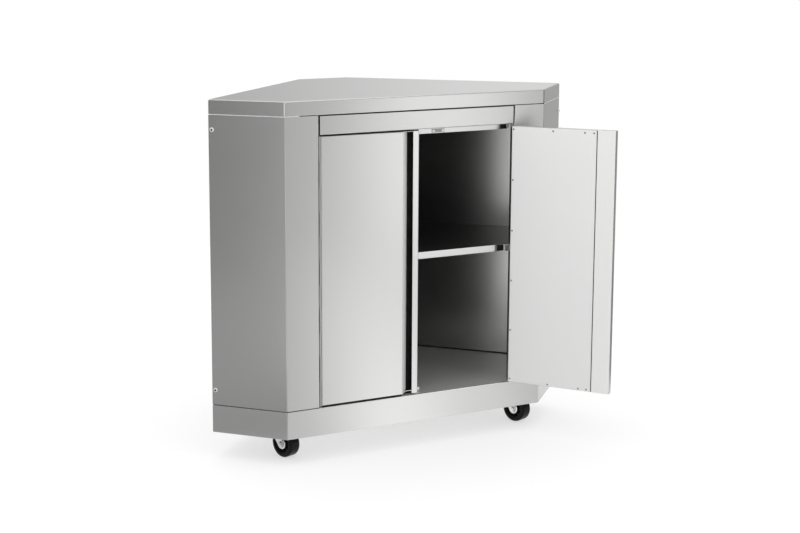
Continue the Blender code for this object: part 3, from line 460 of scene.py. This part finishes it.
sealant_and_shade_black = dark_moulding("wall_sealant", (0.020, 0.020, 0.020), roughness=0.50, grain_size=700.0, dusty=0.020)
bead_section = [(0.0, 0.0), (0.0036, 0.0), (0.0016, 0.0007), (0.0007, 0.0016), (0.0, 0.0036)]
bead_foot = 0.1393
wall_thickness = 0.0024
wall_front = (0.51253, 0.14383)
wall_rear = (0.07574, 0.58061)
rear_mitre = 0.41421
shape = bmesh.new()
rows = []
for way, at_rear in ((1, False), (1, True), (-1, True), (-1, False)):
    row = []
    for reach, height in bead_section:
        inset = wall_thickness + reach
        if at_rear:
            place = ((wall_rear[0] - rear_mitre * inset) * way, wall_rear[1] - inset)
        else:
            place = ((wall_front[0] - math.sqrt(2) * inset) * way, wall_front[1])
        row.append(shape.verts.new((place[0], front_line + place[1], bead_foot + height)))
    rows.append(row)
loft(shape, rows)
piece("wall_foot_sealant", shape, sealant_and_shade_black, "cabinet")


# Frame inside the top: a folded ring that lines the panels up under the worktop.
# It is only seen from inside, and keeps the plain finish of the sheet.
inner_steel = brushed_steel("inner_mill_steel", (0.54, 0.54, 0.54), roughness=0.40, grain="level")
dress(inner_steel, "top_frame")


# Painted shade: black strips on the frame, behind the gap under the worktop's skirt and round the header
# rail.
# They stand for the shade in these gaps, so the gaps read as black lines from outside.
gap_shade_black = dark_moulding("foam_tape", (0.006, 0.006, 0.006), roughness=0.80, grain_size=900.0, dusty=0.004)
panel_end = (0.5108, 0.1421)
panel_fold = (0.3687, 0.0)
strip_front = 0.0016
strip_back = 0.0024
skirt_shade_start = (-0.3300, 0.0)
skirt_shade_stop = (0.5110, 0.1423)
skirt_shade_foot = 0.8763
skirt_shade_head = 0.8840
rail_half = 0.2745
rail_shade_foot = 0.8640
rail_shade_head = 0.8761
end_shade_reach = (0.2747, 0.2790)
end_shade_foot = 0.8300


def front_strip(name, start, stop, foot, head, finish=gap_shade_black, front=strip_front, back=strip_back):
    """A flat strip along the door front, its edges just rounded."""
    low = (start, front_line + front, foot)
    high = (stop, front_line + back, head)
    middle = [(first + last) / 2 for first, last in zip(low, high)]
    shape = bmesh.new()
    add_block(shape, Matrix.Translation(middle), [last - first for first, last in zip(low, high)])
    bmesh.ops.bevel(shape, geom=shape.edges[:], offset=0.0002, segments=2, affect="EDGES")
    piece(name, shape, finish, "cabinet")


def edge_strip(name, route, section, finish):
    """A strip of one section along a route. Each point of it gives x and the depth behind the front."""
    shape = bmesh.new()
    rows = []
    for index, place in enumerate(route):
        ways = [(Vector(route[one]) - Vector(route[other])).normalized()
                for one, other in ((index, index - 1), (index + 1, index))
                if other >= 0 and one < len(route)]
        outward = [Vector((way.y, -way.x)) for way in ways]
        mitre = sum(outward, Vector((0, 0))).normalized()
        mitre /= mitre.dot(outward[0])
        rows.append([shape.verts.new((place[0] - mitre.x * inset,
                                      front_line + place[1] - mitre.y * inset, height))
                     for inset, height in section])
    loft(shape, rows)
    piece(name, shape, finish, "cabinet")


skirt_shade_section = [(strip_front, skirt_shade_foot), (strip_front, skirt_shade_head),
                      (strip_back, skirt_shade_head), (strip_back, skirt_shade_foot)]
edge_strip("skirt_foam_tape", [skirt_shade_start, panel_fold, skirt_shade_stop], skirt_shade_section, gap_shade_black)
front_strip("header_foam_tape", -rail_half, rail_half, rail_shade_foot, rail_shade_head)
for side, way in sides:
    start, stop = sorted(reach * way for reach in end_shade_reach)
    front_strip(side + "_header_end_tape", start, stop, end_shade_foot, rail_shade_head)


# A painted highlight on the side panels' folded top edges: a near white, almost matt strip standing for the
# light caught where the sheet is folded over. It stands a hair proud of the panels and shows as a light line
# just under the worktop's skirt.
highlight_strip_finish = cloudy_metal("rubbed_bright_edge", (0.98, 0.98, 0.98), roughness=0.35, metal=0.05)
left_stop = (-0.3310, 0.0)
right_start = (0.3710, 0.0023)
left_section = [(0.0010, 0.8762), (-0.0004, 0.8762), (-0.0006, 0.8768), (-0.0002, 0.8777), (0.0010, 0.8778)]
right_section = [(0.0010, 0.8761), (-0.0004, 0.8761), (-0.0006, 0.8767), (-0.0002, 0.8773), (0.0010, 0.8774)]
left_route = [(-reach, depth) for reach, depth in (panel_end, panel_fold)] + [left_stop]
edge_strip("left_panel_folded_edge", left_route, left_section, highlight_strip_finish)
right_route = [right_start, panel_end]
edge_strip("right_panel_folded_edge", right_route, right_section, highlight_strip_finish)


# Foot shade lines: a strip of the same dark material along the seam between each side panel and the base pan,
# painted shade for the shadow in the seam. It is a line a millimetre high, from the panel's rear edge round
# to the door.
foot_section = [(0.0002, 0.13885), (-0.00025, 0.1390), (-0.0004, 0.1394), (-0.00025, 0.1398),
                (0.0002, 0.13995)]
door_side = (0.2796, 0.0)
for side, way in sides:
    route = [(reach * way, depth) for reach, depth in (panel_end, panel_fold, door_side)]
    edge_strip(side + "_panel_foot_bead", route if way < 0 else route[::-1], foot_section, sealant_and_shade_black)


# Shelf: a shallow tray of bright rolled sheet, laid on two angles at the back and two clips at the front.
# Its top is smooth and painted dark: painted shade for the dark inside that it mirrors. Its lip stops short
# of the returns beside the doors, and a black nylon buffer closes the lip at each end.
# The shelf's upward faces keep a quarter of the steel's colour: the painted shade on its top.
shelf_steel = half_matt("shelf_bright_stainless", "sheet", upward, (0.60, 0.60, 0.595), roughness=0.16,
                        brightness=0.24, metal=1.0, matt_roughness=0.42, streak=0.5)
dress(shelf_steel, "shelf")
dress(inner_steel, "left_shelf_clip", "right_shelf_clip", "left_shelf_bracket", "right_shelf_bracket")
shelf_buffer_reach = (0.2484, 0.2676)
for side, way in sides:
    start, stop = sorted(reach * way for reach in shelf_buffer_reach)
    front_strip(side + "_shelf_end_buffer", start, stop, foot=0.4905, head=0.5056, finish=black_nylon_and_shade,
         front=0.0246, back=0.0286)


# Header rail over the doors, brushed along its length, with a stop strip behind it.
# A black buffer fills each end of the strip, and both doors meet a small angle on the floor.
rail_steel = brushed_steel("header_brushed_stainless", (0.56, 0.56, 0.555), roughness=0.262, grain="level",
                           streak=0.15)
dress(rail_steel, "header_rail", "door_stop_strip", "floor_stop")
strip_buffer_reach = (0.2501, 0.2702)
for side, way in sides:
    start, stop = sorted(reach * way for reach in strip_buffer_reach)
    front_strip(side + "_strip_end_buffer", start, stop, foot=0.8139, head=0.8281, finish=black_nylon_and_shade,
         front=0.0222, back=0.0262)


# Magnet catches let into the stop strip over the opening: each is a pale moulded plastic case.
# Two bright steel pole plates stand a little proud of its face, where they meet the door.
def pale_moulding(name, colour):
    """Moulded plastic with a faint, uneven gloss."""
    plastic, tree, shader, here = blank(name)
    clouds = cloud(tree, here, scale=300.0, Detail=4.0)
    fill(tree, shader, {
        "Base Color": graded(tree, clouds, ((0.0, [part * 0.9 for part in colour]), (1.0, colour))),
        "Roughness": ranged(tree, clouds, low=0.32, high=0.5)})
    return plastic


catch_plastic = pale_moulding("catch_plastic", (0.42, 0.42, 0.42))
pole_inset = 0.0040
pole_width = 0.0068
pole_proud = 0.0002
pole_depth = 0.0006
pole_trim = 0.001
for side in ("left", "right"):
    dress(catch_plastic, side + "_magnet_catch")
    low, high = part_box(side + "_magnet_catch")
    for index, middle in enumerate((low[0] + pole_inset, high[0] - pole_inset)):
        shape = bmesh.new()
        stand = Matrix.Translation((middle, low[1] + pole_proud, (low[2] + high[2]) / 2))
        add_block(shape, stand, (pole_width, pole_depth, high[2] - low[2] - pole_trim))
        bmesh.ops.bevel(shape, geom=shape.edges[:], offset=0.0001, segments=2, affect="EDGES")
        piece("{}_catch_pole_{}".format(side, index + 1), shape, bolt_steel, "cabinet")


# Full height hinges: rolled leaves with sleeves that alternate round a long pin, one leaf on each side.
# The steel is drawn through rollers, so it is smoother than the panels.
hinge_steel = brushed_steel("hinge_rolled_stainless", (0.50, 0.50, 0.495), roughness=0.30, grain="upright",
                            streak=0.6)
for side in ("left", "right"):
    dress(hinge_steel, side + "_hinge_frame_leaf", side + "_hinge_door_leaf", side + "_hinge_pin")


# Doors: a folded outer skin brushed upright, with a sloped flank that leads the fingers behind the lip.
# The flank, the liner and the handle's back strip have a pale matt finish. The right door stands open.
lining_steel = brushed_steel("liner_matt_stainless", (0.95, 0.95, 0.945), roughness=0.50, grain="upright",
                             streak=0.5, metal=0.02)
door_width = 0.27285
door_thickness = 0.020
half_gap = 0.00295
lip_width = 0.0172
groove_width = 0.0282
flank_start = door_width - lip_width - groove_width
flank_run = 0.0197
flank_rise = 0.0177
door_colour = (0.61, 0.61, 0.605)
door_ways = {"left": 1, "right": -1}
stands = {}
for side, way in door_ways.items():
    hinge = joints[side + "_door_hinge"]
    opened = 0.0 if side == "left" else math.radians(-hinge["range_deg"][0])
    turned = Matrix.Rotation(opened, 4, "Z")
    stands[side] = Matrix.Translation((hinge["pos_m"][0], hinge["pos_m"][1], 0)) @ turned
    flank_faces = turned @ Vector((flank_rise * way, -flank_run, 0)).normalized()
    inward = turned @ Vector((0, 1, 0))
    dress(half_matt(side + "_door_brushed_stainless", "upright", flank_faces, door_colour, roughness=0.262,
                    brightness=1.45, streak=0.15), side + "_door_skin")
    dress(lining_steel, side + "_door_liner")
    dress(half_matt(side + "_handle_brushed_stainless", "upright", inward, door_colour, roughness=0.25,
                    brightness=1.60), side + "_handle_profile")


# Groove shade: a black strip bent into each door's finger groove, painted shade that makes it read as a dark
# slot.
# Three small black screws hold it to the handle profile from the front.
def door_strip(name, side, outline, foot, head):
    """A black upright strip of painted shade on a door. Its outline gives the reach from the hinge and the
    depth.
    """
    shape = bmesh.new()
    flat = shape.faces.new([shape.verts.new(((reach + half_gap) * door_ways[side], depth, foot))
                            for reach, depth in outline])
    raised = bmesh.ops.extrude_face_region(shape, geom=[flat])["geom"]
    bmesh.ops.translate(shape, verts=[part for part in raised if isinstance(part, bmesh.types.BMVert)],
                        vec=(0, 0, head - foot))
    shape.transform(stands[side])
    piece(name, shape, door_shade_black, side + "_door")


door_shade_black = dark_moulding("groove_lining", (0.008, 0.008, 0.008), roughness=0.62, grain_size=1800.0,
                             dusty=0.010)
groove_strip_foot = nodes["left_handle_profile"].bound_box[0][2] + 0.0089
groove_strip_head = nodes["left_handle_profile"].bound_box[1][2] - 0.0012
groove_strip_sheet = 0.0007
groove_strip_front = 0.0013
groove_strip_back = 0.0187
groove_strip_mouth = door_width - 0.0165
groove_strip_edge = door_width - 0.0013
groove_strip_flank = flank_start + flank_run + 0.0012
groove_strip_outline = [(groove_strip_mouth, groove_strip_front), (groove_strip_edge, groove_strip_front), (groove_strip_edge, groove_strip_back),
                  (groove_strip_flank, groove_strip_back), (groove_strip_flank, groove_strip_back - groove_strip_sheet),
                  (groove_strip_edge - groove_strip_sheet, groove_strip_back - groove_strip_sheet),
                  (groove_strip_edge - groove_strip_sheet, groove_strip_front + groove_strip_sheet),
                  (groove_strip_mouth, groove_strip_front + groove_strip_sheet)]
groove_screw_profile = [(0.0, 0.0010), (0.0014, 0.0009), (0.0022, 0.0006), (0.0026, 0.0), (0.0, 0.0)]
groove_screw_reach = 0.2526
groove_screw_depth = 0.0180
groove_screw_heights = (0.177, 0.484, 0.790)
for side, way in door_ways.items():
    door_strip(side + "_groove_lining", side, groove_strip_outline, groove_strip_foot, groove_strip_head)
    for index, height in enumerate(groove_screw_heights):
        shape = spun(groove_screw_profile, facets=20)
        seat = Matrix.Translation(((groove_screw_reach + half_gap) * way, groove_screw_depth, height))
        shape.transform(stands[side] @ (seat @ Matrix.Rotation(math.pi / 2, 4, "X")))
        piece("{}_groove_screw_{}".format(side, index + 1), shape, black_nylon_and_shade, side + "_door")


# Liner seams: a narrow black strip along the joint between each liner and the handle profile, painted shade
# for the shadow in the joint. It runs from the foot of the door to its head and stands a fifth of a
# millimetre proud of the liner.
seam = door_width - 0.0479 + 0.00015
seam_back = 0.01995
seam_proud = 0.0202
seam_outline = [(seam - 0.0012, seam_back), (seam + 0.0012, seam_back), (seam + 0.0011, seam_proud),
                (seam - 0.0011, seam_proud)]
seam_foot = groove_strip_foot - 0.0075
for side in door_ways:
    door_strip(side + "_liner_seam", side, seam_outline, seam_foot, groove_strip_head)


# Door gap shade: black strips under both doors, and on the head of the left one, which usually stays shut.
# They fill the gaps under the header rail and over the base pan when a door is closed, as painted shade
# there.
# The left door has one more strip, behind its groove at the foot.
def flat_outline(start, stop, front, back):
    """The outline of a flat strip."""
    return [(start, front), (stop, front), (stop, back), (start, back)]


gap_strip_start = 0.004
gap_strip_front = 0.0008
gap_strip_back = 0.0034
skin_foot = {side: nodes[side + "_door_skin"].bound_box[0][2] for side in door_ways}
skin_head = nodes["left_door_skin"].bound_box[1][2]
foot_outline = flat_outline(gap_strip_start, flank_start - 0.001, gap_strip_front, gap_strip_back)
for side in door_ways:
    door_strip(side + "_foot_seal", side, foot_outline, skin_foot[side] - 0.0042, skin_foot[side] + 0.0001)
groove_outline = flat_outline(flank_start + 0.016, door_width - 0.001, 0.0170, 0.0190)
door_strip("left_groove_foot_seal", "left", groove_outline, skin_foot["left"] - 0.0036,
           skin_foot["left"] + 0.0001)
door_strip("left_head_seal", "left", flat_outline(gap_strip_start, door_width - 0.002, gap_strip_front, gap_strip_back),
           skin_head - 0.0001, skin_head + 0.0029)


# Liner screws: small countersunk heads with a cross recess, through the liner into the door's folded edges.
# Screws run down the hinge edge, and along the top and bottom edges, and at the ends of the liner's seam.
screw_steel = cloudy_metal("blackened_screw_steel", (0.30, 0.30, 0.30), roughness=0.35)
screw_radius = 0.0023
screw_rise = 0.0002
screw_profile = [(0.0, screw_rise), (screw_radius * 0.88, screw_rise),
                 (screw_radius * 0.97, screw_rise * 0.6), (screw_radius, 0.0), (0.0, 0.0)]
recess_turn = 0.4
recess_size = (0.0026, 0.0005, 0.0001)
screw_places = [(0.0046, height) for height in (0.8167, 0.6841, 0.5508, 0.4179, 0.2848, 0.1528)]
screw_places += [(reach, 0.8166) for reach in (0.1099, 0.1932, 0.2171)]
screw_places += [(reach, 0.1490) for reach in (0.1089, 0.1916, 0.2132)]
for side, way in door_ways.items():
    for index, (reach, height) in enumerate(screw_places):
        shape = spun(screw_profile, facets=20)
        for turn in (0.0, math.pi / 2):
            add_block(shape, Matrix.Rotation(turn + recess_turn, 4, "Z")
                      @ Matrix.Translation((0, 0, screw_rise)), recess_size)
        seat = Matrix.Translation(((half_gap + reach) * way, door_thickness, height))
        shape.transform(stands[side] @ (seat @ Matrix.Rotation(-math.pi / 2, 4, "X")))
        piece("{}_liner_screw_{}".format(side, index + 1), shape, screw_steel, side + "_door")


# Worktop: one sheet folded down on all six sides and welded at the corners, brushed along the front.
# The weld and the folds are dressed to a small round, with the painted highlight along them.
top_steel = brushed_steel("worktop_brushed_stainless", (0.57, 0.57, 0.565), roughness=0.26, grain="sheet",
                          streak=0.15)
dress(top_steel, "worktop")


# A pale studio: the steel mirrors a room whose walls pass from grey at the left and right to white in front
# and behind, under a white ceiling. Only what looks straight at it sees a plain white backdrop.
def room_light(tree, direction):
    """Brightness of the studio walls all the way round, and of the white ceiling over them."""
    split = step(tree, "SeparateXYZ", direction).outputs
    bearing = reckon(tree, "ARCTAN2", split["X"], split["Y"])
    levels = ((-180, 0.53), (-168, 0.68), (-160, 0.90), (-146, 0.80), (-130, 1.50), (-112, 0.19),
              (-90, 0.32), (-45, 0.48), (0, 0.54), (19, 0.52), (32, 0.91), (45, 0.76), (65, 0.45),
              (78, 0.14), (92, 0.14), (112, 0.40), (150, 0.57))
    walls = graded(tree, ranged(tree, bearing, low=0.0, high=1.0, start=-math.pi, stop=math.pi),
                   [(angle / 360 + 0.5, [level] * 3) for angle, level in levels], "EASE")
    rise = ranged(tree, split["Z"], 0.0, 1.0, start=0.35, stop=0.95, interpolation_type="SMOOTHSTEP")
    overhead = ranged(tree, split["Z"], 0.0, 1.0, start=0.60, stop=0.88, interpolation_type="SMOOTHSTEP")
    cove_level = 0.90
    ceiling_level = 1.00
    cove = step(tree, "Mix", Factor=rise, A=walls, B=cove_level).outputs["Result"]
    return step(tree, "Mix", Factor=overhead, A=cove, B=ceiling_level).outputs["Result"]


world = bpy.data.worlds.new("studio")
bpy.context.scene.world = world
world.use_nodes = True
tree = world.node_tree
tree.nodes.clear()
rays = step(tree, "LightPath").outputs
white = (1, 1, 1, 1)
bright = step(tree, "Background", Color=white).outputs["Background"]
soft = step(tree, "Background", Color=white).outputs["Background"]
lit_room = room_light(tree, step(tree, "TexCoord").outputs["Generated"])
room = step(tree, "Background", Color=white, Strength=lit_room).outputs["Background"]
shown = reckon(tree, "MAXIMUM", rays["Is Camera Ray"], rays["Is Transmission Ray"])
mirrored = step(tree, "MixShader", rays["Is Glossy Ray"], soft, room).outputs["Shader"]
backdrop = step(tree, "MixShader", shown, mirrored, bright).outputs["Shader"]
step(tree, "OutputWorld", Surface=backdrop)


# The studio's floor: a round white sheet that keeps the cabinet's shadow. In the steel it shows a painted
# pool of light, a glow seen only in reflections that fades to the left and right, and a painted glowing spot
# at the left of the camera, standing for a white card, lights the lower part of the cabinet's inside.
floor_radius = 2.6
floor_colour = (0.45, 0.45, 0.45, 1)
floor_glow = 0.57
floor_gloss = 0.60
pool_way = (0.90, 0.41, 0)
pool_width = 2.4
pool_shift = 0.07
pool_light = 2.0
pool_levels = ((-1.20, 0.21), (-0.60, 0.16), (-0.33, 0.53), (-0.05, 1.00), (0.22, 0.71), (0.40, 0.50),
               (0.80, 0.68), (0.90, 0.34), (1.00, 0.12), (1.20, 0.10))
glow_spot_place = (-1.15, -1.10, 0)
glow_spot_light = 2.40
glow_spot_core = 0.25
glow_spot_edge = 0.55
floor_shape = bmesh.new()
bmesh.ops.create_circle(floor_shape, cap_ends=True, segments=128, radius=floor_radius)
floor_mesh = bpy.data.meshes.new("studio_floor")
floor_shape.to_mesh(floor_mesh)
floor_shape.free()
floor = bpy.data.objects.new("studio_floor", floor_mesh)
bpy.context.scene.collection.objects.link(floor)
pale = bpy.data.materials.new("pale_floor")
pale.use_nodes = True
tree = pale.node_tree
tree.nodes.clear()
rays = step(tree, "LightPath").outputs
here = step(tree, "TexCoord").outputs["Object"]
paint = step(tree, "BsdfDiffuse", Color=floor_colour).outputs["BSDF"]
glow = step(tree, "Emission", Strength=reckon(tree, "MULTIPLY", rays["Is Camera Ray"], floor_glow))
plain = step(tree, "AddShader", paint, glow.outputs["Emission"]).outputs["Shader"]
# Painted light: seen in reflections, the floor glows in a pool that fades to the sides, and in a spot at the
# left.
across = step(tree, "VectorMath", here, pool_way, operation="DOT_PRODUCT").outputs["Value"]
along_pool = ranged(tree, across, low=0.0, high=1.0, start=-pool_width / 2 - pool_shift,
                    stop=pool_width / 2 - pool_shift)
pool = graded(tree, along_pool, [(place / pool_width + 0.5, [level] * 3) for place, level in pool_levels],
              "EASE")
from_glow_spot = step(tree, "VectorMath", here, glow_spot_place, operation="DISTANCE").outputs["Value"]
glow_spot = ranged(tree, from_glow_spot, low=glow_spot_light, high=0.0, start=glow_spot_core, stop=glow_spot_edge,
              interpolation_type="SMOOTHSTEP")
lit = reckon(tree, "ADD", reckon(tree, "MULTIPLY", pool, pool_light), glow_spot)
sheen = step(tree, "Emission", Strength=lit).outputs["Emission"]
share = reckon(tree, "MULTIPLY", rays["Is Glossy Ray"], floor_gloss)
seen = step(tree, "MixShader", share, plain, sheen).outputs["Shader"]
step(tree, "OutputMaterial", Surface=seen)
floor_mesh.materials.append(pale)


# Lamps: a tall soft box to the right of the camera, a broad one overhead and a weak one at the left.
# They give the steel its soft bands of light, and the cabinet its faint shadow on the floor.
def soft_box(name, place, aim, width, height, power):
    """A flat rectangular lamp turned towards a point, which only shows in what it lights."""
    lamp = bpy.data.lights.new(name, "AREA")
    lamp.shape = "RECTANGLE"
    lamp.size = width
    lamp.size_y = height
    lamp.energy = power
    made = bpy.data.objects.new(name, lamp)
    bpy.context.scene.collection.objects.link(made)
    made.location = place
    made.rotation_euler = (Vector(aim) - Vector(place)).to_track_quat("-Z", "Y").to_euler()
    made.visible_camera = False


soft_box("front_lamp", (1.27, -2.35, 0.82), aim=(0.05, -0.18, 0.82), width=0.6, height=1.6, power=3.4)
soft_box("top_lamp", (0.0, 0.3, 3.0), aim=(0.0, 0.0, 0.5), width=2.4, height=2.4, power=15)
soft_box("left_lamp", (-1.64, -0.97, 0.6), aim=(-0.4, -0.3, 0.6), width=0.35, height=1.2, power=0.3)

bpy.context.scene.view_settings.view_transform = "Standard"
